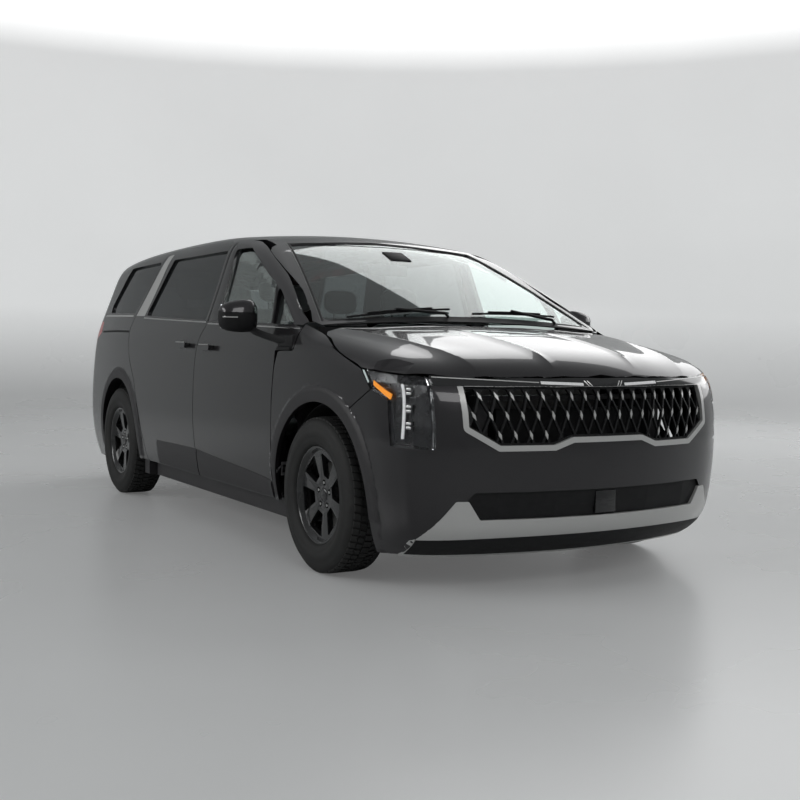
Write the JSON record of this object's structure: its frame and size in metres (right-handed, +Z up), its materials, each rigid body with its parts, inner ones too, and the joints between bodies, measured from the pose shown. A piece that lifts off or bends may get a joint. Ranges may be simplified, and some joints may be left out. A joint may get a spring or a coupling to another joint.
{
  "type": "minivan",
  "caption": "Family minivan with hinged front doors, hood and tailgate, steered front wheels, a lattice grille and a hollow cabin with three seat rows.",
  "frame": {"origin": "on the ground under the middle of the bounding box", "axes": "+X forward, +Y to the driver's left, +Z up"},
  "size_m": [5.1548, 2.392, 1.7398],
  "materials": {
    "body_paint": "gloss metallic",
    "trim_black": "matte",
    "gloss_black": "gloss",
    "satin_silver": "satin",
    "screen_glass": "clear",
    "privacy_glass": "dark tint",
    "lamp_lens": "clear",
    "lamp_red": "gloss",
    "light_strip": "gloss",
    "wheel_black": "gloss",
    "tyre": "matte",
    "chassis_steel": "rough",
    "seat_cloth": "woven",
    "cabin_plastic": "grained",
    "steel_pipe": "dull"
  },
  "bodies": {
    "body": {"center_console": "cabin_plastic", "cowl": "trim_black", "dashboard": "cabin_plastic", "door_posts": "body_paint", "engine_block": "chassis_steel", "exhaust": "steel_pipe", "floor": "trim_black", "front_bumper": "body_paint", "front_fenders": "body_paint", "front_frame": "chassis_steel", "front_seats": "seat_cloth", "front_subframe": "chassis_steel", "fuel_tank": "trim_black", "grille": "gloss_black", "grille_inserts": "satin_silver", "grille_surround": "satin_silver", "headlamps": "lamp_lens", "lamp_units": "gloss_black", "light_bar": "light_strip", "lower_grille": "gloss_black", "radiator": "chassis_steel", "rear_axle": "chassis_steel", "rear_bumper": "body_paint", "roof": "body_paint", "second_row_seats": "seat_cloth", "side_frames": "body_paint", "side_glass_rear": "privacy_glass", "sills": "trim_black", "skid_plate": "satin_silver", "slide_handles": "body_paint", "sliding_doors": "body_paint", "strut_towers": "chassis_steel", "tail_lamps": "lamp_red", "third_row_seats": "seat_cloth", "wheelhouses_front": "trim_black", "wheelhouses_rear": "trim_black", "windshield": "screen_glass"},
    "front_door_left": {"door_front_left": "body_paint", "glass_front_left": "screen_glass", "mirror_left": "gloss_black", "handle_left": "body_paint"},
    "front_door_right": {"door_front_right": "body_paint", "glass_front_right": "screen_glass", "mirror_right": "gloss_black", "handle_right": "body_paint"},
    "hood": {"hood": "body_paint"},
    "tailgate": {"tailgate": "body_paint", "tailgate_glass": "privacy_glass"},
    "knuckle_left": {"knuckle_left": "chassis_steel"},
    "knuckle_right": {"knuckle_right": "chassis_steel"},
    "wheel_front_left": {"wheel_front_left": "wheel_black", "tyre_front_left": "tyre"},
    "wheel_front_right": {"wheel_front_right": "wheel_black", "tyre_front_right": "tyre"},
    "wheel_rear_left": {"wheel_rear_left": "wheel_black", "tyre_rear_left": "tyre"},
    "wheel_rear_right": {"wheel_rear_right": "wheel_black", "tyre_rear_right": "tyre"},
    "steering_wheel": {"steering_wheel": "cabin_plastic"}
  },
  "joints": [
    {"name": "steer_left", "type": "hinge", "parent": "body", "child": "knuckle_left", "pos_m": [1.6425, 0.815, 0.22], "axis": [0, -0.2638, 0.9646], "range_deg": [-35, 35]},
    {"name": "steer_right", "type": "hinge", "parent": "body", "child": "knuckle_right", "pos_m": [1.6425, -0.815, 0.22], "axis": [0, 0.2638, 0.9646], "range_deg": [-35, 35]},
    {"name": "steering_wheel", "type": "hinge", "parent": "body", "child": "steering_wheel", "pos_m": [0.79, 0.37, 0.96], "axis": [-0.9022, 0, 0.4312], "range_deg": [-500, 500]},
    {"name": "wheel_front_left", "type": "hinge", "parent": "knuckle_left", "child": "wheel_front_left", "pos_m": [1.6425, 0.87, 0.3685], "axis": [0, 1, 0], "continuous": true},
    {"name": "wheel_front_right", "type": "hinge", "parent": "knuckle_right", "child": "wheel_front_right", "pos_m": [1.6425, -0.87, 0.3685], "axis": [0, 1, 0], "continuous": true},
    {"name": "wheel_rear_left", "type": "hinge", "parent": "body", "child": "wheel_rear_left", "pos_m": [-1.4475, 0.87, 0.3685], "axis": [0, 1, 0], "continuous": true},
    {"name": "wheel_rear_right", "type": "hinge", "parent": "body", "child": "wheel_rear_right", "pos_m": [-1.4475, -0.87, 0.3685], "axis": [0, 1, 0], "continuous": true},
    {"name": "door_front_left", "type": "hinge", "parent": "body", "child": "front_door_left", "pos_m": [1.227, 0.94627, 0.7], "axis": [0, 0.0349, -0.9994], "range_deg": [0, 65]},
    {"name": "door_front_right", "type": "hinge", "parent": "body", "child": "front_door_right", "pos_m": [1.227, -0.94627, 0.7], "axis": [0, 0.0349, 0.9994], "range_deg": [0, 65]},
    {"name": "hood", "type": "hinge", "parent": "body", "child": "hood", "pos_m": [1.5, 0, 1.112], "axis": [0, -1, 0], "range_deg": [0, 50]},
    {"name": "tailgate", "type": "hinge", "parent": "body", "child": "tailgate", "pos_m": [-2.13, 0, 1.6], "axis": [0, 1, 0], "range_deg": [0, 80]}
  ],
  "couplings": [
    {"joint": "steer_right", "follows": "steer_left", "ratio": 1},
    {"joint": "steering_wheel", "follows": "steer_left", "ratio": 14}
  ]
}
